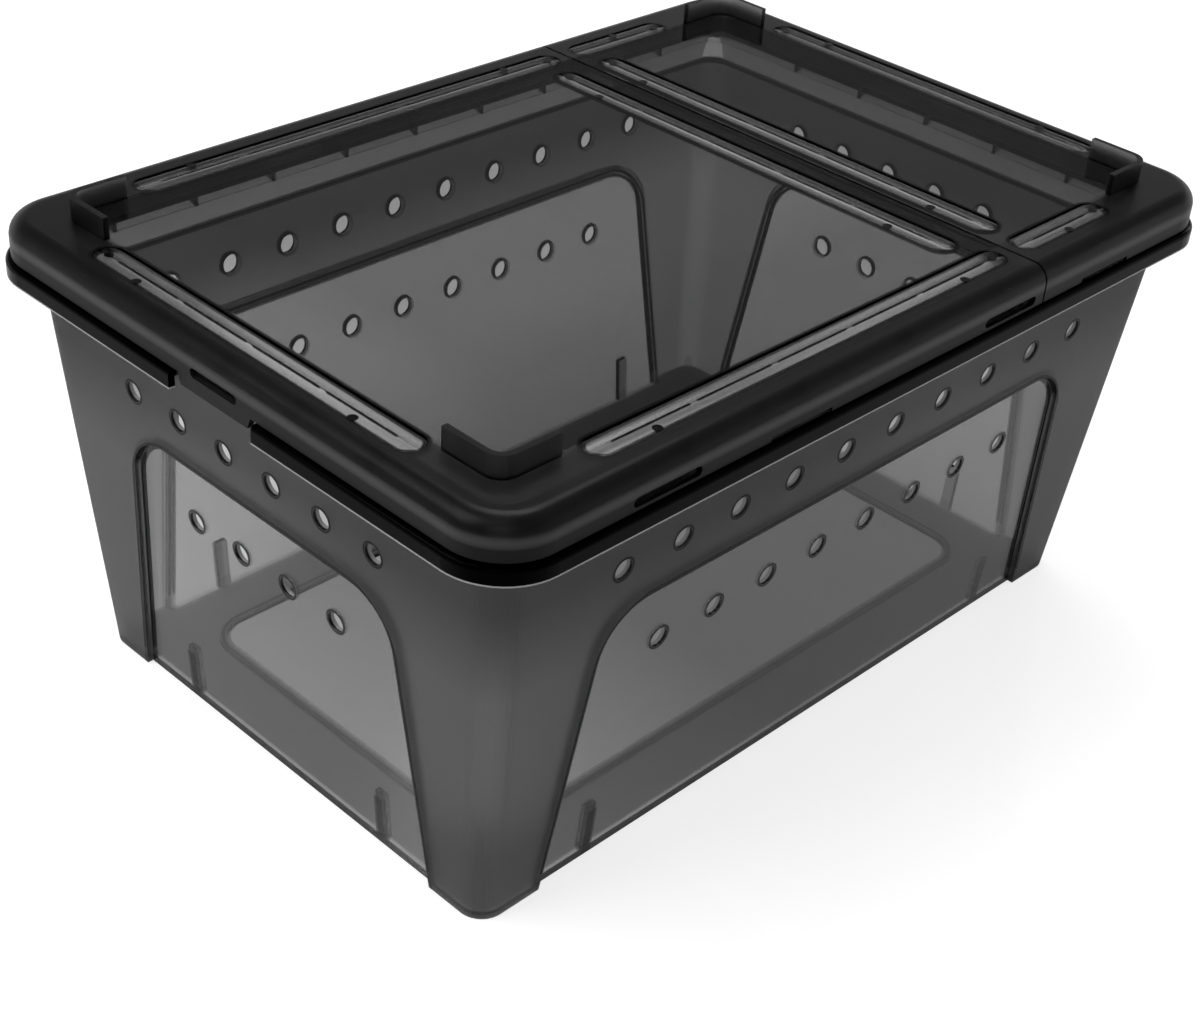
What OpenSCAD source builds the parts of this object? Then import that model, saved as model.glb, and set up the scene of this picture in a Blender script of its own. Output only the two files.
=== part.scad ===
// Smoke-tinted plastic keeper for small animals: a tapered tub with clear window panels, closed
// by a main lid and a smaller hatch lid that butt at a cross split. Slotted vent strips sit in
// both lids. The origin is the centre of the underside; X runs along the long side.

/* [Tub] */
// Length over the lip
lip_l = 320; // [300:1:360]
// Width over the lip
lip_w = 223; // [210:1:250]
// Height of the lower edge of the lip above the underside
lip_z = 133; // [115:1:160]
// Corner radius of the lip
lip_corner_r = 20; // [17:0.5:26]
// Overhang of the lip beyond the wall
lip_reach = 10; // [9:0.5:12]
// Height of the turned-down lip
lip_h = 5.5; // [4.5:0.5:7]
// Length of the underside
floor_l = 280; // [270:1:285]
// Width of the underside
floor_w = 180; // [172:1:186]
// Corner radius of the underside
floor_corner_r = 8; // [6:0.5:12]
// Thickness of walls, floor and lip
wall_t = 2; // [1.6:0.1:2.4]
// Depth below the lip at which the inside of the wall steps back
mouth_step = 5.5; // [4:0.5:8]

/* [Window panels] */
// Distance from the lip down to the top edge of each window panel
window_drop = 36; // [30:1:46]
// Depth that the panels sit behind the legs
window_inset = 2; // [1:0.25:2.5]
// Radius of the upper corners of the panels
window_corner_r = 17; // [8:1:24]
// Width of the long panels at the underside
window_long_w = 234; // [215:1:238]
// Width of the short panels at the underside
window_short_w = 137; // [125:1:140]
// Narrowing of a panel on each side, per millimetre of height
window_taper = 0.121; // [0.08:0.005:0.14]
// Length of the raised panel of the floor
floor_panel_l = 232; // [215:1:240]
// Width of the raised panel of the floor
floor_panel_w = 131; // [120:1:140]
// Rise of the floor panel
floor_panel_rise = 1.5; // [1:0.25:2]

/* [Air holes] */
// Diameter of the air holes in the walls
air_hole_d = 6.4; // [4:0.2:7.5]
// Distance from the lip down to the row in the band above the panels
band_row_drop = 21.3; // [14:0.1:25]
// Distance from the lip down to the row in the panels
panel_row_drop = 57.7; // [50:0.1:72]
// Spacing of the holes along the long walls
long_pitch = 22.9; // [20:0.1:24]
// Spacing of the holes along the short walls
short_pitch = 21.2; // [19:0.1:22.5]
// Holes in the upper row of a long wall; the panel row has two fewer
long_holes = 10; // [6:2:10]
// Holes in the upper row of a short wall; the panel row has two fewer
short_holes = 6; // [4:2:6]

/* [Lids] */
// Height of the top of the lids above the top of the lip
lid_rise = 12; // [11:0.5:14]
// Length of the hatch lid, from the end of the lip to the split
hatch_l = 97; // [90:1:105]
// Thickness of the lid plate and skirt
lid_t = 2; // [1.8:0.1:2.4]
// Distance from the outside of the skirt in to the outside of the lip
skirt_inset = 1.6; // [1:0.1:2]
// Radius of the rounded shoulder of the lids
shoulder_r = 5.5; // [3:0.5:7]
// Gap between the two lids at the split
split_gap = 0.8; // [0.6:0.1:1.4]
// Height of the corner walls that locate a keeper stacked on top
stack_wall_h = 7; // [4:0.5:9]
// Length of each arm of the corner walls
stack_wall_arm = 21; // [14:0.5:22]
// Width of the finger tab at each end
tab_w = 29; // [22:1:34]

/* [Vent strips] */
// Width of the vent openings
vent_w = 10; // [8:0.5:11]
// Thickness of the vent strips beside their crowns
vent_t = 1; // [0.8:0.1:1.1]
// Width of the air slits in the strips
slit_w = 0.8; // [0.6:0.1:1.2]
// Length of one air slit, at most
slit_l = 30; // [15:0.5:40]
// Distance from the end of the skirt to the centre line of an end vent
vent_end_inset = 12.2; // [11.5:0.1:13]
// Distance from the side of the skirt to the centre line of a side vent
vent_side_inset = 14.9; // [12.5:0.1:17]
// Distance from the split to the centre line of the vent beside it in the main lid
vent_main_offset = 13; // [8:0.5:20]
// Distance from the split to the centre line of the vent beside it in the hatch lid
vent_hatch_offset = 8.5; // [8:0.5:16]
// Distance from the split to the ends of the side vents
vent_split_margin = 4; // [3:0.5:8]
// Distance from an end vent to the corner walls on both sides of it
vent_end_margin = 3.1; // [2:0.1:12]
// Distance from a side vent of the main lid to the corner wall
vent_main_margin = 6; // [2:0.5:20]
// Distance from a side vent of the hatch lid to the corner wall
vent_hatch_margin = 9; // [2:0.5:15]
// Distance from the vents beside the split to the side vents
vent_cross_margin = 6; // [3:0.5:14]

/* [Hidden] */
$fn = 48;

smoke = [0.24, 0.24, 0.25, 0.75];
smoke_lid = [0.13, 0.13, 0.14, 0.85];
smoke_vent = [0.42, 0.42, 0.43, 0.6];

// Small amount by which tools run past the surfaces that they cut, and joined solids overlap
over = 0.5;

// Tub heights and plan sizes
wall_l = lip_l - 2 * lip_reach;
wall_w = lip_w - 2 * lip_reach;
wall_corner_r = lip_corner_r - lip_reach;
lip_top_z = lip_z + lip_h;
lip_edge_r = 1.5;                 // rounding of the upper edge of the lip
rim_out = 0.6;                    // rim outside, beyond the wall
rim_t = 2.2;                      // rim thickness
mouth_z = lip_z - mouth_step;
mouth_l = wall_l + 2 * (rim_out - rim_t);
mouth_w = wall_w + 2 * (rim_out - rim_t);
mouth_corner_r = wall_corner_r + rim_out - rim_t;

// Window panels
window_top_z = lip_z - window_drop;
panel_corner_r = 12;              // corners of the raised floor panel

// Lean of the walls from upright
long_lean = atan((wall_w - floor_w) / 2 / lip_z);
short_lean = atan((wall_l - floor_l) / 2 / lip_z);

// Ribs and gussets
gusset_t = 1.4;
gusset_pitch = 30;
foot_rib_w = 4;
foot_rib_h = 18;
foot_rib_depth = 2;
foot_rib_long_x = window_long_w / 2 - 21;
foot_rib_short_y = window_short_w / 2 - 23.5;

// Lid heights and plan sizes
skirt_l = lip_l - 2 * skirt_inset;
skirt_w = lip_w - 2 * skirt_inset;
skirt_corner_r = lip_corner_r - skirt_inset;
seat_gap = 0.5;                   // skirt edge above the lip
skirt_z = lip_top_z + seat_gap;
lid_top_z = lip_top_z + lid_rise;
plate_z = lid_top_z - lid_t;      // underside of the plate
rim_gap = 0.3;                    // between the rim of the tub and the plate over it
rim_z = plate_z - rim_gap;
border_w = shoulder_r + 3;        // width of the swept border of a lid
split_x = lip_l / 2 - hatch_l;

// Pockets and low slots in the skirt
pocket_l = 25;
pocket_h = 3;
pocket_z = skirt_z + 2.5;
main_pocket_x = [-lip_l / 2 + 59.5, split_x - 17];
slot_gap_l = 25;
slot_gap_h = 1.3;
main_slot_x = -lip_l / 2 + 111.5;
hatch_slot_x = split_x + 33;

// Catch bars on the lip, behind the pockets
catch_gap = 0.4;
catch_l = 20;
catch_t = 1.6;
catch_h = pocket_z + pocket_h / 2 - catch_gap - lip_top_z;

// Finger tabs, and the notches of the lip in which they hang
tab_z = lip_z + 2.5;
tab_flare = 1.5;                  // widening of a tab on each side, towards the skirt
tab_clear = 1.5;                  // beside a tab
notch_depth = skirt_inset + lid_t + catch_gap;

// Lid stiffening
web_t = 1.4;
web_z = lip_top_z + catch_h + 0.8;
web_pitch_long = 45;
web_pitch_short = 30;
split_rib_t = 1.6;
split_rib_h = 5;
rim_clear = 0.6;                  // between lid webs or ribs and the rim of the tub

// Corner walls: the inside of each wall clears the foot of the keeper above it
stack_clear = 0.7;
stack_wall_t = 1.9;
stack_l = floor_l + 2 * (stack_clear + stack_wall_t);
stack_w = floor_w + 2 * (stack_clear + stack_wall_t);
stack_corner_r = 6;

// Vent openings: lengths, centre lines and middles
vent_end_x = skirt_l / 2 - vent_end_inset;
vent_side_y = skirt_w / 2 - vent_side_inset;
vent_end_l = stack_w - 2 * (stack_wall_arm + vent_end_margin);
vent_split_l = 2 * vent_side_y - vent_w - 2 * vent_cross_margin;
main_vent_from = -stack_l / 2 + stack_wall_arm + vent_main_margin;
main_vent_to = split_x - vent_split_margin;
hatch_vent_from = split_x + vent_split_margin;
hatch_vent_to = stack_l / 2 - stack_wall_arm - vent_hatch_margin;
vent_ledge = 1;                   // ledge under the edge of a strip
vent_gap = 0.25;                  // round the edge of a strip
vent_sink = 0.5;                  // edge of a strip below the lid top
vent_seat_z = lid_top_z - vent_sink - vent_t;

// Crowns, air slits, pegs and nibs of the strips
crown_h = 0.4;                    // rise of the two crowns that run along a strip
slit_bridge = 2.6;                // plastic between two slits
peg_d = 2.8;
peg_h = vent_sink;                // pegs and nibs end flush with the lid top
peg_inset = 4.2;
nib_d = 3;
nib_inset = 22;

// ---- outlines -------------------------------------------------------------------------------

function arc_points(x, y, r, from, to, steps) =
    [for (i = [0 : steps]) let (a = from + (to - from) * i / steps) [x + r * cos(a), y + r * sin(a)]];

// Rectangle with round corners
module round_rect(l, w, r) {
    x = l / 2 - r;
    y = w / 2 - r;
    polygon(concat(arc_points(x, y, r, 0, 90, 10), arc_points(-x, y, r, 90, 180, 10),
                   arc_points(-x, -y, r, 180, 270, 10), arc_points(x, -y, r, 270, 360, 10)));
}

// Straight slot with round ends, along X
module slot_outline(l, w) {
    square([l - w, w], center = true);
    for (side = [-1, 1]) translate([side * (l - w) / 2, 0]) circle(d = w);
}

// Window panel outline in the plane of a wall: X along the wall, Y up, open below the underside
module window_outline(base_w, grow = 0) {
    top = window_top_z + grow;
    half = base_w / 2 + grow;
    r = window_corner_r + grow;
    lean = atan(window_taper);
    // centre of the upper corner arc, tangent to the leaning side and to the top edge
    cx = half - window_taper * (top - r) - r / cos(lean);
    polygon(concat([[half + window_taper * 6, -6]],
                   arc_points(cx, top - r, r, lean, 90, 10),
                   arc_points(-cx, top - r, r, 90, 180 - lean, 10),
                   [[-half - window_taper * 6, -6]]));
}

// Carries a section round a rounded rectangle: section X is outward from the outline, Y is height
module swept(l, w, r) {
    for (sx = [0, 1], sy = [0, 1])
        mirror([sx, 0, 0]) mirror([0, sy, 0]) translate([l / 2 - r, w / 2 - r, 0])
            rotate_extrude(angle = 90) translate([r, 0]) children();
    for (s = [0, 1]) {
        mirror([0, s, 0]) translate([0, w / 2, 0]) rotate([90, 0, 90])
            linear_extrude(l - 2 * r, center = true) children();
        mirror([s, 0, 0]) translate([l / 2, 0, 0]) rotate([90, 0, 0])
            linear_extrude(w - 2 * r, center = true) children();
    }
}

// Puts children, drawn in the plane of a wall with Z outward, on both long or both short walls
module on_long_walls() {
    for (s = [0, 1]) mirror([0, s, 0])
        translate([0, -floor_w / 2, 0]) rotate([90 + long_lean, 0, 0]) children();
}
module on_short_walls() {
    for (s = [0, 1]) mirror([s, 0, 0])
        rotate([0, 0, 90]) translate([0, -floor_l / 2, 0]) rotate([90 + short_lean, 0, 0]) children();
}

// Tapered block with round corners between two heights of the wall, moved in by inset
module wall_block(z0, z1, inset) {
    hull() for (z = [z0, z1]) {
        k = z / lip_z;
        l = floor_l + (wall_l - floor_l) * k - 2 * inset;
        w = floor_w + (wall_w - floor_w) * k - 2 * inset;
        r = floor_corner_r + (wall_corner_r - floor_corner_r) * k - inset;
        translate([0, 0, z]) linear_extrude(0.01) round_rect(l, w, r);
    }
}

// ---- tub ------------------------------------------------------------------------------------

// Section of the lip and of the rim above it
module lip_section() {
    translate([-wall_t, lip_z]) square([wall_t, lip_h - lip_edge_r]);
    translate([-lip_reach - over, lip_top_z - wall_t]) square([lip_reach + over - lip_edge_r, wall_t]);
    translate([-lip_edge_r, lip_top_z - lip_edge_r]) intersection() {
        circle(lip_edge_r);
        square(lip_edge_r);
    }
    // the rim starts further in; the mouth trims it
    translate([-lip_reach + rim_out - rim_t - over, lip_z + 1]) square([rim_t + over, rim_z - lip_z - 1]);
}

module air_holes(count, pitch, z, lean) {
    for (i = [0 : count - 1])
        translate([(i - (count - 1) / 2) * pitch, z / cos(lean), -8]) cylinder(d = air_hole_d, h = 16);
}

// Rib inside a window panel at its foot
module foot_rib(x) {
    translate([x - foot_rib_w / 2, wall_t / 2, -window_inset - wall_t - foot_rib_depth])
        cube([foot_rib_w, foot_rib_h, foot_rib_depth + over]);
}

// Triangular gussets between the wall and the lip
module lip_gusset() {
    run = lip_reach - wall_t + over;
    rotate([90, 0, 0]) linear_extrude(gusset_t, center = true)
        polygon([[-over, lip_z + 0.6], [run, lip_top_z - wall_t - 1], [run, lip_top_z - wall_t + over],
                 [-over, lip_top_z - wall_t + over]]);
}

// Upright bar on the lip behind a pocket of the skirt
module catch_bar() {
    translate([skirt_inset + lid_t + catch_gap, -catch_l / 2, lip_top_z - over])
        cube([catch_t, catch_l, catch_h + over]);
}

// Notch in the lip at one end, where the finger tab of a lid hangs
module finger_notch() {
    half = tab_w / 2 + tab_flare + tab_clear;
    translate([-lip_l / 2, 0, lip_z - over]) linear_extrude(lip_h + 2 * over)
        polygon([[-over, -half - over], [notch_depth, -half], [notch_depth, half], [-over, half + over]]);
}

module tub() color(smoke) {
    panel_depth = window_inset + wall_t;
    difference() {
        union() {
            difference() {
                union() {
                    wall_block(0, lip_top_z - wall_t + over, 0);
                    swept(lip_l, lip_w, lip_corner_r) lip_section();
                }
                wall_block(wall_t, mouth_z, wall_t);
                translate([0, 0, mouth_z]) linear_extrude(rim_z)
                    round_rect(mouth_l, mouth_w, mouth_corner_r);
            }
            // panels stand inward of the wall by as much as they are recessed outside
            intersection() {
                union() {
                    on_long_walls() translate([0, 0, -panel_depth]) linear_extrude(wall_t + over)
                        window_outline(window_long_w, wall_t);
                    on_short_walls() translate([0, 0, -panel_depth]) linear_extrude(wall_t + over)
                        window_outline(window_short_w, wall_t);
                }
                translate([0, 0, over + lip_z / 2]) cube([lip_l, lip_w, lip_z], center = true);
            }
            on_long_walls() for (s = [-1, 1]) foot_rib(s * foot_rib_long_x);
            on_short_walls() for (s = [-1, 1]) foot_rib(s * foot_rib_short_y);
            translate([0, 0, wall_t - over]) linear_extrude(floor_panel_rise + over)
                round_rect(floor_panel_l + 2 * wall_t, floor_panel_w + 2 * wall_t, panel_corner_r + wall_t);
            for (s = [0, 1], i = [-4 : 4]) mirror([0, s, 0])
                translate([i * gusset_pitch, wall_w / 2, 0]) rotate([0, 0, 90]) lip_gusset();
            for (s = [0, 1], i = [-2 : 2]) mirror([s, 0, 0])
                translate([wall_l / 2, i * gusset_pitch, 0]) lip_gusset();
            for (s = [0, 1]) mirror([s, 0, 0])
                translate([-lip_l / 2, 0, 0]) catch_bar();
            for (s = [0, 1], x = main_pocket_x) mirror([0, s, 0])
                translate([x, -lip_w / 2, 0]) rotate([0, 0, 90]) catch_bar();
        }
        on_long_walls() translate([0, 0, -window_inset]) linear_extrude(8) window_outline(window_long_w);
        on_short_walls() translate([0, 0, -window_inset]) linear_extrude(8) window_outline(window_short_w);
        translate([0, 0, -over]) linear_extrude(floor_panel_rise + over)
            round_rect(floor_panel_l, floor_panel_w, panel_corner_r);
        on_long_walls() {
            air_holes(long_holes, long_pitch, lip_z - band_row_drop, long_lean);
            air_holes(long_holes - 2, long_pitch, lip_z - panel_row_drop, long_lean);
        }
        on_short_walls() {
            air_holes(short_holes, short_pitch, lip_z - band_row_drop, short_lean);
            air_holes(short_holes - 2, short_pitch, lip_z - panel_row_drop, short_lean);
        }
        for (s = [0, 1]) mirror([s, 0, 0]) finger_notch();
    }
}

// ---- lids -----------------------------------------------------------------------------------

// Section of the border of a lid: skirt, round shoulder and the edge of the plate
module lid_section() {
    translate([-lid_t, skirt_z]) square([lid_t, lid_top_z - shoulder_r - skirt_z]);
    translate([-shoulder_r, lid_top_z - shoulder_r]) intersection() {
        difference() {
            circle(shoulder_r);
            circle(shoulder_r - lid_t);
        }
        square(shoulder_r);
    }
    translate([-border_w, plate_z]) square([border_w - shoulder_r, lid_t]);
}

// One vent opening along X: through, with a ledge that the strip lies on
module vent_opening(l) {
    translate([0, 0, vent_seat_z]) linear_extrude(2 * lid_t) slot_outline(l, vent_w);
    translate([0, 0, plate_z - over]) linear_extrude(lid_t)
        slot_outline(l - 2 * vent_ledge, vent_w - 2 * vent_ledge);
}

// Pocket through the long skirts, drawn at the middle of the keeper
module long_skirt_pockets(x) {
    for (s = [0, 1]) mirror([0, s, 0]) translate([x, -skirt_w / 2 - over, pocket_z])
        rotate([-90, 0, 0]) linear_extrude(lid_t + 2 * over) slot_outline(pocket_l, pocket_h);
}
module long_skirt_slots(x) {
    for (s = [0, 1]) mirror([0, s, 0]) translate([x - slot_gap_l / 2, -skirt_w / 2 - over, skirt_z - over])
        cube([slot_gap_l, lid_t + 2 * over, slot_gap_h + over]);
}

// Short webs between skirt and rim, which centre the lid on the rim of the tub
module long_webs(xs) {
    inner = wall_w / 2 + rim_out + rim_clear;
    for (s = [0, 1], x = xs) mirror([0, s, 0])
        translate([x - web_t / 2, inner, web_z])
            cube([web_t, skirt_w / 2 - lid_t + over - inner, plate_z - web_z + over]);
}
module end_webs() {
    inner = wall_l / 2 + rim_out + rim_clear;
    for (i = [-2 : 2])
        translate([inner, i * web_pitch_short - web_t / 2, web_z])
            cube([skirt_l / 2 - lid_t + over - inner, web_t, plate_z - web_z + over]);
}

// Corner walls on the plate, at one end
module stack_walls() {
    translate([0, 0, lid_top_z - over]) linear_extrude(stack_wall_h + over) intersection() {
        difference() {
            round_rect(stack_l, stack_w, stack_corner_r);
            round_rect(stack_l - 2 * stack_wall_t, stack_w - 2 * stack_wall_t, stack_corner_r - stack_wall_t);
        }
        for (s = [-1, 1])
            translate([(stack_l - stack_wall_arm) / 2, s * (stack_w - stack_wall_arm) / 2])
                square(stack_wall_arm, center = true);
    }
}

// Finger tab that hangs from the end skirt into the notch of the lip
module finger_tab() {
    translate([skirt_l / 2 - lid_t, 0, 0]) rotate([90, 0, 90]) linear_extrude(lid_t)
        polygon([[-tab_w / 2 - tab_flare, skirt_z + over], [-tab_w / 2, tab_z], [tab_w / 2, tab_z],
                 [tab_w / 2 + tab_flare, skirt_z + over]]);
}
module end_pocket() {
    translate([skirt_l / 2 - lid_t - over, 0, pocket_z]) rotate([90, 0, 90])
        linear_extrude(lid_t + 2 * over) slot_outline(catch_l, pocket_h);
}

// Whole cover before it is divided: border, plate, corner walls, end webs and tabs at both ends
module cover() {
    swept(skirt_l, skirt_w, skirt_corner_r) lid_section();
    translate([0, 0, plate_z]) linear_extrude(lid_t)
        round_rect(skirt_l - 2 * border_w + 2 * over, skirt_w - 2 * border_w + 2 * over,
                   skirt_corner_r - border_w + over);
    for (s = [0, 1]) mirror([s, 0, 0]) {
        stack_walls();
        end_webs();
        finger_tab();
    }
}

// Rib under the edge of a plate beside the split
module split_rib(x) {
    half = mouth_w / 2 - rim_clear;
    translate([x, -half, plate_z - split_rib_h]) cube([split_rib_t, 2 * half, split_rib_h + over]);
}

module main_lid() color(smoke_lid) {
    edge = split_x - split_gap / 2;
    difference() {
        union() {
            intersection() {
                cover();
                translate([edge - 2 * lip_l, -lip_w, 0]) cube([2 * lip_l, 2 * lip_w, 2 * lid_top_z]);
            }
            long_webs([for (i = [-2 : 1]) i * web_pitch_long]);
            split_rib(edge - split_rib_t);
        }
        translate([-vent_end_x, 0, 0]) rotate([0, 0, 90]) vent_opening(vent_end_l);
        translate([split_x - vent_main_offset, 0, 0]) rotate([0, 0, 90]) vent_opening(vent_split_l);
        for (s = [-1, 1]) translate([(main_vent_from + main_vent_to) / 2, s * vent_side_y, 0])
            vent_opening(main_vent_to - main_vent_from);
        for (x = main_pocket_x) long_skirt_pockets(x);
        long_skirt_slots(main_slot_x);
        mirror([1, 0, 0]) end_pocket();
    }
}

module hatch_lid() color(smoke_lid) {
    edge = split_x + split_gap / 2;
    difference() {
        union() {
            intersection() {
                cover();
                translate([edge, -lip_w, 0]) cube([2 * lip_l, 2 * lip_w, 2 * lid_top_z]);
            }
            long_webs([for (i = [1, 2]) split_x + i * web_pitch_short]);
            split_rib(edge);
        }
        translate([vent_end_x, 0, 0]) rotate([0, 0, 90]) vent_opening(vent_end_l);
        translate([split_x + vent_hatch_offset, 0, 0]) rotate([0, 0, 90]) vent_opening(vent_split_l);
        for (s = [-1, 1]) translate([(hatch_vent_from + hatch_vent_to) / 2, s * vent_side_y, 0])
            vent_opening(hatch_vent_to - hatch_vent_from);
        long_skirt_slots(hatch_slot_x);
        end_pocket();
    }
}

// ---- vent strips ----------------------------------------------------------------------------

// Section across a strip: two low crowns side by side, with a groove between them
module strip_section(w) {
    r = (w * w / 16 + crown_h * crown_h) / (2 * crown_h);
    translate([-w / 2 - over, -over]) square([w + 2 * over, vent_t + over]);
    intersection() {
        for (y = [-w / 4, w / 4]) translate([y, vent_t + crown_h - r]) circle(r);
        translate([-w / 2, 0]) square([w, vent_t + crown_h + over]);
    }
}

// Strip along X that fits an opening of length l; nibs on its +Y edge, peg at its +X end
module vent_strip(l) color(smoke_vent) {
    strip_l = l - 2 * vent_gap;
    strip_w = vent_w - 2 * vent_gap;
    run = strip_l - strip_w - 2 * slit_bridge;
    count = ceil(run / (slit_l + slit_bridge));
    pitch = run / count;
    translate([0, 0, vent_seat_z]) {
        difference() {
            intersection() {
                linear_extrude(vent_t + crown_h) slot_outline(strip_l, strip_w);
                rotate([90, 0, 90]) linear_extrude(strip_l, center = true) strip_section(strip_w);
            }
            for (i = [0 : count - 1]) translate([(i - (count - 1) / 2) * pitch, 0, -over])
                linear_extrude(vent_t + 2 * over) slot_outline(pitch - slit_bridge, slit_w);
        }
        translate([strip_l / 2 - peg_inset, 0, vent_t - over]) cylinder(d = peg_d, h = peg_h + over);
        for (s = l > 3 * nib_inset ? [-1, 1] : [1])
            translate([s * (strip_l / 2 - nib_inset), strip_w / 2 - nib_d / 2, vent_t - over])
                cylinder(d = nib_d, h = peg_h + over);
    }
}

// Strip for the left side of a lid, between two places along X
module side_vent_strip(from, to) translate([(from + to) / 2, vent_side_y, 0]) vent_strip(to - from);

module end_vent_strip() translate([-vent_end_x, 0, 0]) rotate([0, 0, 90]) vent_strip(vent_end_l);
module left_vent_strip() side_vent_strip(main_vent_from, main_vent_to);
module right_vent_strip() mirror([0, 1, 0]) side_vent_strip(main_vent_from, main_vent_to);
module split_vent_strip()
    translate([split_x - vent_main_offset, 0, 0]) rotate([0, 0, 90]) vent_strip(vent_split_l);
module hatch_split_vent_strip()
    translate([split_x + vent_hatch_offset, 0, 0]) rotate([0, 0, 90]) vent_strip(vent_split_l);
module hatch_left_vent_strip() side_vent_strip(hatch_vent_from, hatch_vent_to);
module hatch_right_vent_strip() mirror([0, 1, 0]) side_vent_strip(hatch_vent_from, hatch_vent_to);
module hatch_end_vent_strip()
    translate([vent_end_x, 0, 0]) mirror([1, 0, 0]) rotate([0, 0, 90]) vent_strip(vent_end_l);

tub();
main_lid();
hatch_lid();
end_vent_strip();
left_vent_strip();
right_vent_strip();
split_vent_strip();
hatch_split_vent_strip();
hatch_left_vent_strip();
hatch_right_vent_strip();
hatch_end_vent_strip();
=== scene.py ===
import bpy
from mathutils import Matrix, Vector


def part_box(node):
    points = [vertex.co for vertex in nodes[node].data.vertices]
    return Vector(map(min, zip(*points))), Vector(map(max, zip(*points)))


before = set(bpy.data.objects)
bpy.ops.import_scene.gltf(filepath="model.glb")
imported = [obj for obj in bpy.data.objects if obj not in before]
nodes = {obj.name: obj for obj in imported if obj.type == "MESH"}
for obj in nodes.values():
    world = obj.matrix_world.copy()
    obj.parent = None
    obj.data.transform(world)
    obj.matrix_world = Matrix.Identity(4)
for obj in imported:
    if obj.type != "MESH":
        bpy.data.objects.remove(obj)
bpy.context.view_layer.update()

# ---- Camera ----------------------------------------------------------------------------------
# It looks down over the nearest corner of the keeper from about 0.7 m away, and is rolled by a
# few degrees.
PHOTO_W = 1200
FOCAL_PX = 2080.35
SENSOR_MM = 36
NEAR_CLIP = 0.01
EYE = Vector((-0.43383, -0.39104, 0.42243))
RIGHT = Vector((0.7032, -0.7080, 0.0647))
UP = Vector((0.3572, 0.4306, 0.8289))

camera = bpy.data.objects.new("camera", bpy.data.cameras.new("camera"))
bpy.context.scene.collection.objects.link(camera)
camera.data.sensor_fit = "HORIZONTAL"
camera.data.sensor_width = SENSOR_MM
camera.data.lens = FOCAL_PX / PHOTO_W * SENSOR_MM
camera.data.clip_start = NEAR_CLIP
back = RIGHT.cross(UP).normalized()
right = UP.cross(back).normalized()
turn = Matrix((right, back.cross(right), back)).transposed()
camera.matrix_world = Matrix.Translation(EYE) @ turn.to_4x4()
bpy.context.scene.camera = camera

# ---- Tub -------------------------------------------------------------------------------------
# One injection moulding of smoke-tinted polystyrene, 2 mm thick. The tool is polished where the
# windows, the raised floor panel and the rim are, and fine-textured on the legs and the band.
# Light that is caught in the plastic leaves the steps, hole rims and lip nearly black. That black
# is painted shade in the tint, and so are the dark mouth line and ribs.

# Walls: half the distance between their feet, how far they lean out, and how far in they reach.
WALL_HEIGHT = 0.133
WALL_FOOT = {"long": 0.090, "short": 0.140}
WALL_LEAN = {"long": 0.0115 / WALL_HEIGHT, "short": 0.010 / WALL_HEIGHT}
WALL_DEPTH = 0.0057

# Windows: half the width at the foot, and the step by which they lie back, which ends at STEP_Z.
WINDOW_HALF = {"long": 0.117, "short": 0.0685}
WINDOW_TOP = 0.097
WINDOW_R = 0.017
WINDOW_TAPER = 0.121
STEP_DEPTH = 0.002
STEP_Z = (0.0936, 0.0938)

# Air holes, with the height of each row and its number of holes.
HOLE_R = 0.0032
HOLE_PITCH = {"long": 0.0229, "short": 0.0212}
HOLE_ROWS = ((0.1117, {"long": 10, "short": 6}), (0.0756, {"long": 8, "short": 4}))

# Foot ribs, raised floor panel, rim and lip. The floor lies below FLOOR_Z, and over BAND_Z the
# legs pass into the darker band, whose tint is painted shade under the lid's dark rim.
RIB_AT = {"long": 0.096, "short": 0.045}
RIB_HALF = 0.002
RIB_TOP = 0.0182
PANEL_HALF = (0.116, 0.0655)
PANEL_R = 0.012
FLOOR_HALF = (0.1375, 0.0875)
FLOOR_Z = (0.006, 0.0067)
BAND_Z = (0.085, 0.115)
MOUTH_Z = 0.1275
RIM_HALF = (0.1490, 0.1005)
LIP_HALF = (0.1575, 0.1090)
LIP_R = 0.0175
LIP_FOOT_Z = 0.1323
# A painted highlight runs along the lower edge of the lip, between these heights.
LIP_HIGHLIGHT_Z = (0.13328, 0.13356)

# Distances over which the polish, a painted dark line or a hole's painted dark edge fades out. The
# middle of a line lies STEP_LINE_AT or HOLE_LINE_AT from the edge that it follows.
POLISH_EDGE = (-0.0002, -0.0006)
STEP_LINE_AT = 0.0009
STEP_LINE = (0.00049, 0.00077)
MOUTH_LINE = (0.0007, 0.0013)
HOLE_LINE_AT = 0.0005
HOLE_LINE = (0.0003, 0.000475)
HOLE_WALL = (0.00009, 0.00015)
HOLE_EDGE = (0.0008, 0.00112)
RIB_EDGE = (-0.0004, 0)

# How bright the tint of each place is, and what the painted dark lines leave of it. The band's
# tint holds painted shade, and the lip edge's a painted highlight. The pairs for a hole are at its
# outer edge and farther in.
WINDOW_TINT = 0.88
LEG_TINT = 0.58
BAND_SHADE_TINT = 0.22
FLOOR_EDGE_TINT = 0.36
LIP_HIGHLIGHT_TINT = 0.6
HOLE_WALL_TINT = (0.01, 0.42)
STEP_DARK = 0.03
FLOOR_STEP_DARK = 0.4
MOUTH_DARK = 0.03
HOLE_DARK = (0.005, 0.5)
RIB_DARK = 0.15

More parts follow.
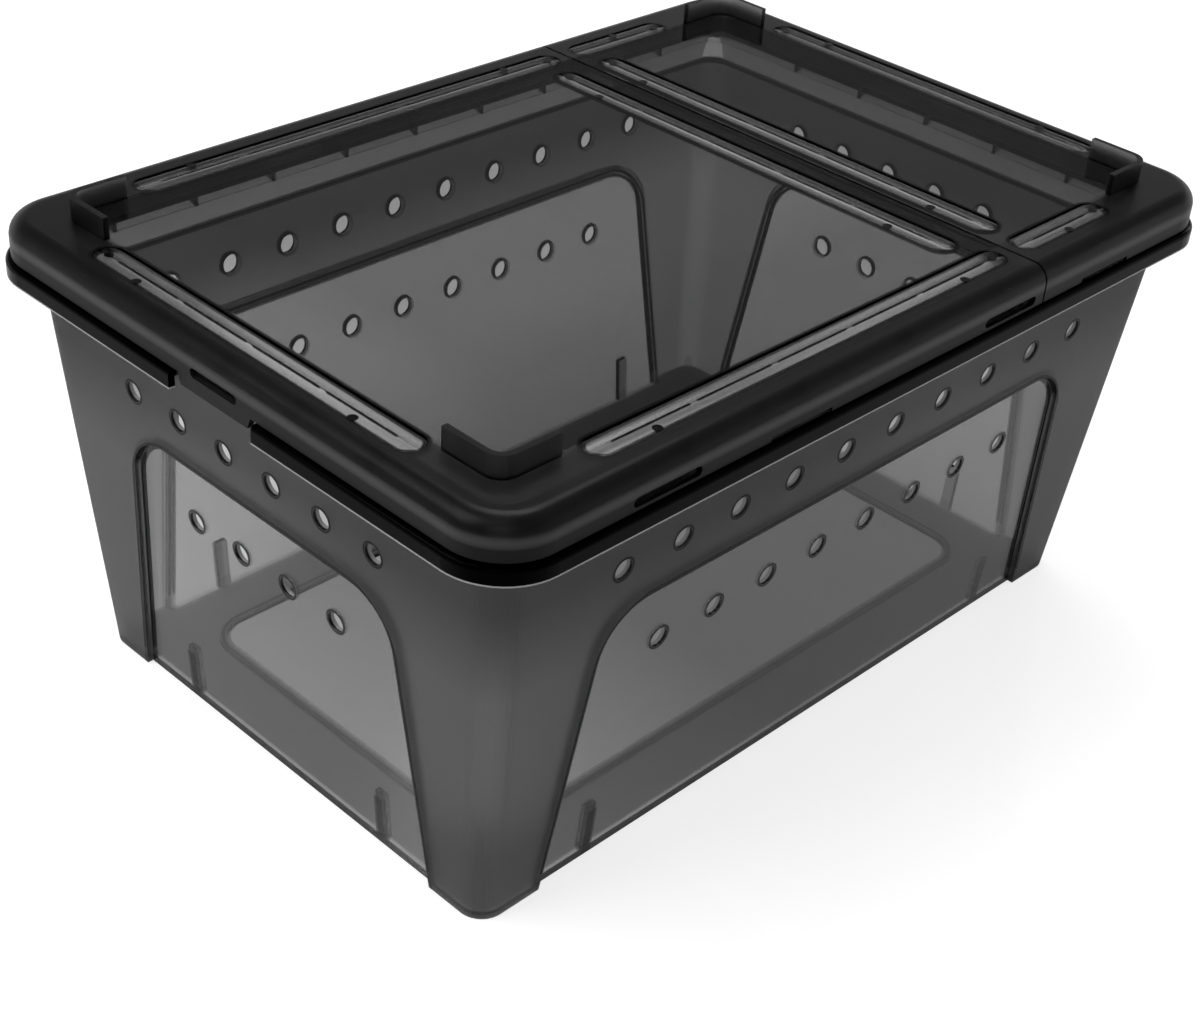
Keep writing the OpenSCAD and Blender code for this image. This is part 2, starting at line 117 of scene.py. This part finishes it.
# How clear the plastic is, how it shines, its roughness and the height of its texture.
HOLE_WALL_CLEAR = 0.2
LIP_HIGHLIGHT_CLEAR = 0.4
TUB_SHINE = 0.7
LIP_SHINE = 0.12
MIRROR = 0.5
LIP_MIRROR = 0.1
NOISE = (0.3, 0.7)
TUB_GRAIN = 0.0006
TUB_FLOW = 0.03
TUB_TEXTURE = (0.36, 0.50)
TUB_POLISH = (0.005, 0.02)
TUB_BUMP = 0.00004
TUB_POLISHED_BUMP = 0.03
TUB_SMOKE = 240
BLACK = (0, 0, 0, 1)


class Value:
    """A number that shader nodes work out, so that sums are written with the usual signs."""

    def __init__(self, socket):
        self.socket = socket

    def node(self, kind, *inputs, operation=None):
        """What a new node gives for this value and those inputs."""
        node = self.socket.id_data.nodes.new("ShaderNode" + kind)
        if operation:
            node.operation = operation
        for socket, value in zip(node.inputs, (self, *inputs)):
            feed(socket, value)
        return Value(node.outputs[0])

    def __add__(self, other):
        return self.node("Math", other, operation="ADD")

    def __sub__(self, other):
        return self.node("Math", other, operation="SUBTRACT")

    def __mul__(self, other):
        return self.node("Math", other, operation="MULTIPLY")

    def __mod__(self, other):
        return self.node("Math", other, operation="MODULO")

    def __abs__(self):
        return self.node("Math", operation="ABSOLUTE")

    def __gt__(self, other):
        return self.node("Math", other, operation="GREATER_THAN")

    def __lt__(self, other):
        return self.node("Math", other, operation="LESS_THAN")

    def root(self):
        return self.node("Math", operation="SQRT")

    def ramp(self, start, end, low, high):
        """low where this is at start, high where it is at end, and between them in between."""
        return self.node("MapRange", start, end, low, high)

    def blend(self, low, high):
        """low where this is 0, high where it is 1."""
        return self.ramp(0, 1, low, high)


def feed(socket, value):
    """Set a socket to a number or colour, or link it to what another node gives."""
    if isinstance(value, Value):
        value = value.socket
    if isinstance(value, bpy.types.NodeSocket):
        socket.id_data.links.new(value, socket)
    else:
        socket.default_value = value


def least(value, *others):
    for other in others:
        value = value.node("Math", other, operation="MINIMUM")
    return value


def most(value, *others):
    for other in others:
        value = value.node("Math", other, operation="MAXIMUM")
    return value


class Finish:
    """The shader nodes of one material, or of the room."""

    def __init__(self, owner, place="Object"):
        owner.use_nodes = True
        self.tree = owner.node_tree
        self.tree.nodes.clear()
        self.place = self.node("TexCoord").outputs[place]
        self.x, self.y, self.z = map(Value, self.node("SeparateXYZ", {0: self.place}).outputs)

    def node(self, kind, inputs=None):
        """A new node with those inputs."""
        node = self.tree.nodes.new("ShaderNode" + kind)
        for name, value in (inputs or {}).items():
            feed(node.inputs[name], value)
        return node

    def noise(self, size, detail):
        """Noise with grains of about that size in metres."""
        scaled = self.node("VectorMath", {0: self.place, 1: (1 / size, 1 / size, 1 / size)})
        scaled.operation = "MULTIPLY"
        noise = self.node("TexNoise", {"Vector": scaled.outputs[0], "Scale": 1, "Detail": detail})
        return Value(noise.outputs[0])

    def grey(self, level):
        if not isinstance(level, Value):
            return (level, level, level, 1)
        return self.node("CombineColor", {0: level, 1: level, 2: level}).outputs[0]

    def plastic(
        self, tint, roughness, height, bump_m, smoke, shine, ior=1.4, clear=1, mirror=MIRROR
    ):
        """Clear plastic that takes in light by the metre of its thickness."""
        bump = self.node("Bump", {"Height": height, "Strength": 1, "Distance": bump_m})
        shader = self.node("BsdfPrincipled", {
            "Base Color": self.grey(tint),
            "Roughness": roughness,
            "IOR": ior,
            "Normal": bump.outputs[0],
            "Specular IOR Level": mirror,
            "Specular Tint": self.grey(shine),
            "Transmission Weight": clear,
        })
        inside = self.node("VolumeAbsorption", {"Color": BLACK, "Density": smoke})
        self.node("OutputMaterial", {"Surface": shader.outputs[0], "Volume": inside.outputs[0]})


def round_patch(across, up, r):
    """Distance out of a patch with its side at across = 0, top at up = 0 and a corner of r."""
    a = most(across + r, 0)
    b = most(up + r, 0)
    flat = least(most(across + r, up + r), 0)
    return (a * a + b * b).root() + flat - r


def round_plan(finish, half, r):
    """Distance out of a rectangle with round corners, in plan."""
    return round_patch(abs(finish.x) - half[0], abs(finish.y) - half[1], r)


def off_plan(finish, half):
    """1 outside a rectangle in plan, 0 inside it."""
    return most(abs(finish.x) > half[0], abs(finish.y) > half[1])


def wall_pairs(finish):
    """For both pairs of walls: which, how far along and how far in from the outer face."""
    for wall, along, out in (("long", finish.x, finish.y), ("short", finish.y, finish.x)):
        face = finish.z * WALL_LEAN[wall] + WALL_FOOT[wall]
        yield wall, abs(along), face - abs(out)


def window_distance(wall, along, z):
    """Distance out of a window, whose sides lean in towards the top."""
    return round_patch(along + z * WINDOW_TAPER - WINDOW_HALF[wall], z - WINDOW_TOP, WINDOW_R)


def hole_distance(wall, along, z):
    """Distance out of the nearest air hole, and more than 1 past the last hole of a row."""
    pitch = HOLE_PITCH[wall]
    across = along % pitch - pitch / 2
    rows = []
    for row_z, count in HOLE_ROWS:
        up = z - row_z
        past_last = along > count[wall] / 2 * pitch
        rows.append((up * up + across * across).root() - HOLE_R + past_last)
    return least(*rows)


def rib_distance(wall, along, z):
    """Distance out of a foot rib."""
    return most(abs(along - RIB_AT[wall]) - RIB_HALF, z - RIB_TOP)


smoked_tub = bpy.data.materials.new("smoked_tub")
tub = Finish(smoked_tub)
windows = []
holes = []
ribs = []
depths = []
for wall, along, depth in wall_pairs(tub):
    off_wall = depth > WALL_DEPTH
    windows.append(window_distance(wall, along, tub.z) + off_wall)
    holes.append(hole_distance(wall, along, tub.z) + off_wall)
    ribs.append(rib_distance(wall, along, tub.z) + off_wall)
    depths.append(depth)
panel = round_plan(tub, PANEL_HALF, PANEL_R) + (tub.z > FLOOR_Z[0])
polished = least(*windows, panel)
hole = least(*holes)

# The ribs of the hatch half stay faint: they get no painted shade.
rib = least(*ribs) + (tub.x > 0)

# The depth in a hole counts from the face around it, which in a window lies back by the step.
hole_depth = least(*depths) - tub.z.ramp(*STEP_Z, STEP_DEPTH, 0)

past_rim = off_plan(tub, RIM_HALF)
rim = (tub.z > MOUTH_Z) - past_rim
clear = most(polished.ramp(*POLISH_EDGE, 0, 1), rim)
lip = (tub.z > LIP_FOOT_Z) * (round_plan(tub, LIP_HALF, LIP_R) > 0)
# A pale, partly opaque line along the lip's lower edge: a painted highlight.
lip_highlight = tub.z.ramp(*LIP_HIGHLIGHT_Z, 1, 0) * lip
hole_wall = hole.ramp(*HOLE_WALL, 1, 0)
floor_edge = (tub.z < FLOOR_Z[0]) - off_plan(tub, FLOOR_HALF)

# Painted shade: dark lines at the steps, the mouth and the hole rims, and dark ribs.
step_line = abs(abs(polished) - STEP_LINE_AT)
painted_shade = step_line.ramp(*STEP_LINE, tub.z.ramp(*FLOOR_Z, FLOOR_STEP_DARK, STEP_DARK), 1)
painted_shade *= (abs(tub.z - MOUTH_Z) + past_rim).ramp(*MOUTH_LINE, MOUTH_DARK, 1)
painted_shade *= abs(hole - HOLE_LINE_AT).ramp(*HOLE_LINE, hole_depth.ramp(*HOLE_EDGE, *HOLE_DARK), 1)
painted_shade *= rib.ramp(*RIB_EDGE, RIB_DARK, 1)

# Over BAND_Z the frosted tint darkens: painted shade under the lid's rim.
frosted = floor_edge.blend(tub.z.ramp(*BAND_Z, LEG_TINT, BAND_SHADE_TINT), FLOOR_EDGE_TINT)
tint = clear.blend(frosted, WINDOW_TINT) * painted_shade
# The lip is painted black, and the hole walls nearly so, as painted shade.
tint = lip_highlight.blend(lip.blend(tint, 0), LIP_HIGHLIGHT_TINT)
tint = hole_wall.blend(tint, hole_depth.ramp(*HOLE_EDGE, *HOLE_WALL_TINT))

grain = tub.noise(TUB_GRAIN, detail=3)
texture = grain.ramp(*NOISE, *TUB_TEXTURE)
polish = tub.noise(TUB_FLOW, detail=2).ramp(*NOISE, *TUB_POLISH)
tub.plastic(
    tint=tint,
    roughness=most(clear, lip).blend(texture, polish),
    height=grain * clear.blend(1, TUB_POLISHED_BUMP),
    bump_m=TUB_BUMP,
    smoke=TUB_SMOKE,
    shine=lip.blend(TUB_SHINE, LIP_SHINE) * painted_shade,
    clear=lip_highlight.blend(hole_wall.blend(1, HOLE_WALL_CLEAR) * lip.blend(1, 0), LIP_HIGHLIGHT_CLEAR),
    mirror=lip.blend(MIRROR, LIP_MIRROR),
)
nodes["tub"].data.materials[0] = smoked_tub

# ---- Lids ------------------------------------------------------------------------------------
# Two mouldings of the same plastic with more smoke in it, pushed over the lip of the tub and
# meeting at the split. The plate is polished, and the shoulder and skirt have a satin texture.
# The steps round the vent openings are thick, so they look nearly black; that black, and the black
# of the skirt, is painted shade.
PLATE_HALF = (0.1410, 0.0910)
PLATE_R = 0.008
PLATE_EDGE = (-0.0012, 0.0012)
PLATE_FADE = (-0.035, -0.012)
CORNER_WALL_Z = (0.1506, 0.1508)
SKIRT_HALF = (0.1582, 0.1097)
SKIRT_R = 0.0184
SKIRT_Z = (0.1425, 0.1465)
SPLIT_X = 0.0625
VENT_LINE = (0.00096, 0.0016)
PLATE_TINT = (0.86, 1)
HATCH_TINT = 0.85
SATIN_TINT = 0.17
CORNER_WALL_TINT = 0.5
SKIRT_SHADE_TINT = 0.012
VENT_SHADE = 0.01
LID_SHINE = 0.3
SKIRT_MIRROR = 0.2
LID_GRAIN = 0.0007
LID_FLOW = 0.04
LID_TEXTURE = (0.28, 0.40)
LID_POLISH = (0.004, 0.015)
LID_BUMP = 0.00003
LID_POLISHED_BUMP = 0.02
LID_SMOKE = 480


def vent_distance(finish):
    """Distance out of the nearest vent opening, in plan, and less than 0 inside one."""
    distances = []
    for name in nodes:
        if not name.endswith("vent_strip"):
            continue
        low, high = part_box(name)
        across = abs(finish.x - (low[0] + high[0]) / 2) - (high[0] - low[0]) / 2
        along = abs(finish.y - (low[1] + high[1]) / 2) - (high[1] - low[1]) / 2
        r = min(high[0] - low[0], high[1] - low[1]) / 2
        distances.append(round_patch(across, along, r))
    return least(*distances)


smoked_lid = bpy.data.materials.new("smoked_lid")
lid = Finish(smoked_lid)
off_plate = round_plan(lid, PLATE_HALF, PLATE_R)
vent = vent_distance(lid)
corner_wall = lid.z.ramp(*CORNER_WALL_Z, 0, 1)
satin = most(off_plate.ramp(*PLATE_EDGE, 0, 1), corner_wall) * (vent > 0)
# The skirt is painted nearly black and opaque, as painted shade.
skirt = (round_plan(lid, SKIRT_HALF, SKIRT_R) > 0) * lid.z.ramp(*SKIRT_Z, 1, 0)

plate_tint = off_plate.ramp(*PLATE_FADE, *PLATE_TINT) * (lid.x > SPLIT_X).blend(1, HATCH_TINT)
lid_tint = satin.blend(plate_tint, corner_wall.blend(SATIN_TINT, CORNER_WALL_TINT))
# Painted shade: dark lines round the vent openings.
lid_tint *= abs(vent).ramp(*VENT_LINE, VENT_SHADE, 1)

lid_grain = lid.noise(LID_GRAIN, detail=3)
lid_texture = lid_grain.ramp(*NOISE, *LID_TEXTURE)
lid_polish = lid.noise(LID_FLOW, detail=2).ramp(*NOISE, *LID_POLISH)
lid.plastic(
    tint=skirt.blend(lid_tint, SKIRT_SHADE_TINT),
    roughness=satin.blend(lid_polish, lid_texture),
    height=lid_grain * satin.blend(LID_POLISHED_BUMP, 1),
    bump_m=LID_BUMP,
    smoke=LID_SMOKE,
    shine=LID_SHINE,
    clear=skirt.blend(1, 0),
    mirror=skirt.blend(MIRROR, SKIRT_MIRROR),
)
for name in ("main_lid", "hatch_lid"):
    nodes[name].data.materials[0] = smoked_lid

# ---- Vent strips -----------------------------------------------------------------------------
# Eight thin mouldings with a row of fine air slits between two low crowns, pressed into the
# openings of the lids. Their fine texture catches the light, but the outer edge, and the peg and
# the nibs that stand up above CROWN_Z, look black.
CROWN_Z = (0.15042, 0.15046)
STRIP_EDGE = (-0.0013, -0.0008)
STRIP_TINT = (0.9, 0.01)
STRIP_SHINE = 0.6
STRIP_GRAIN = 0.0005
STRIP_TEXTURE = (0.16, 0.26)
STRIP_BUMP = 0.00004
STRIP_SMOKE = 200
STRIP_IOR = 1.5

clear_vent = bpy.data.materials.new("clear_vent")
strip = Finish(clear_vent)
on_crown = strip.z.ramp(*CROWN_Z, 1, 0)
strip_grain = strip.noise(STRIP_GRAIN, detail=2)
strip.plastic(
    tint=vent_distance(strip).ramp(*STRIP_EDGE, *STRIP_TINT) * on_crown,
    roughness=strip_grain.ramp(*NOISE, *STRIP_TEXTURE),
    height=strip_grain,
    bump_m=STRIP_BUMP,
    smoke=STRIP_SMOKE,
    shine=on_crown * STRIP_SHINE,
    ior=STRIP_IOR,
    mirror=on_crown * MIRROR,
)
for name in nodes:
    if name.endswith("vent_strip"):
        nodes[name].data.materials[0] = clear_vent

# ---- Floor -----------------------------------------------------------------------------------
# A white sheet with a faint gloss. It looks white to the camera. Through the plastic it shows
# painted
# light and shadow: brightest at the near end, and darker towards the hatch half, where the keeper
# itself shades the sheet.
FLOOR_SIZE = 12
FLOOR_DROP = 0.0002
FLOOR_GREY = 0.55
FLOOR_GLOW = 0.80
FLOOR_GLOSS = 0.15
FLOOR_ROUGH = 0.12
FLOOR_MIRRORED = 0.25
SHADOW_X = (-0.11, 0.0)
SHADOW_Y = (0.10, 0.17)
SHADOW_TONE = (1.3, 0.55)
WHITE = (1, 1, 1, 1)


def ray(finish, *kinds):
    """1 for rays of one of those kinds, 0 for all others."""
    path = finish.node("LightPath")
    return most(*[Value(path.outputs["Is " + kind + " Ray"]) for kind in kinds])


half = FLOOR_SIZE / 2
corners = [(-half, -half, 0), (half, -half, 0), (half, half, 0), (-half, half, 0)]
mesh = bpy.data.meshes.new("floor")
mesh.from_pydata(corners, [], [(0, 1, 2, 3)])
floor = bpy.data.objects.new("floor", mesh)
bpy.context.scene.collection.objects.link(floor)
floor.location.z = -FLOOR_DROP

white_sheet = bpy.data.materials.new("white_sheet")
sheet = Finish(white_sheet)
shaded = sheet.y.ramp(*SHADOW_Y, sheet.x.ramp(*SHADOW_X, *SHADOW_TONE), 1)
shown = most(
    ray(sheet, "Camera"),
    ray(sheet, "Transmission") * shaded,
    ray(sheet, "Glossy") * FLOOR_MIRRORED,
)
matt = sheet.node("BsdfDiffuse", {"Color": sheet.grey(FLOOR_GREY)})
glow = sheet.node("Emission", {"Color": WHITE, "Strength": shown * FLOOR_GLOW})
both = sheet.node("AddShader", {0: matt.outputs[0], 1: glow.outputs[0]})
gloss = sheet.node("BsdfGlossy", {"Roughness": FLOOR_ROUGH})
mixed = sheet.node("MixShader", {0: FLOOR_GLOSS, 1: both.outputs[0], 2: gloss.outputs[0]})
sheet.node("OutputMaterial", {"Surface": mixed.outputs[0]})
mesh.materials.append(white_sheet)

# ---- Room and lamps --------------------------------------------------------------------------
# A room that is white to the camera, and soft lamps that light the keeper at a plain level. In
# what the plastic mirrors or lets through, the walls are pale up to WALL_TOP and the ceiling dark.
ROOM_LIGHT = 0.6
WALL_TOP = (0.15, 0.35)
WALL_MIRRORED = 0.8
CEILING_MIRRORED = 0.15
LAMP_AIM = Vector((0, 0, 0.08))

white_room = bpy.data.worlds.new("white_room")
bpy.context.scene.world = white_room
room = Finish(white_room, place="Generated")
mirrored = room.z.ramp(*WALL_TOP, WALL_MIRRORED, CEILING_MIRRORED)
lit = ray(room, "Glossy", "Transmission").blend(ROOM_LIGHT, mirrored)
walls = room.node("Background", {"Color": WHITE, "Strength": ray(room, "Camera").blend(lit, 1)})
room.node("OutputWorld", {"Surface": walls.outputs[0]})

for name, place, size, power in (
    ("window_light", (-0.9, 0.4, 1.1), 0.9, 9),
    ("fill_light", (0.9, -1.0, 0.8), 1.1, 0.6),
    ("front_light", (-0.9, -0.8, 0.9), 0.5, 1.3),
    ("top_light", (0.45, 0.40, 1.25), 0.5, 4),
):
    lamp = bpy.data.lights.new(name, "AREA")
    lamp.shape = "SQUARE"
    lamp.size = size
    lamp.energy = power
    holder = bpy.data.objects.new(name, lamp)
    bpy.context.scene.collection.objects.link(holder)
    holder.location = place
    holder.rotation_euler = (LAMP_AIM - Vector(place)).to_track_quat("-Z", "Y").to_euler()

bpy.context.scene.view_settings.view_transform = "Standard"
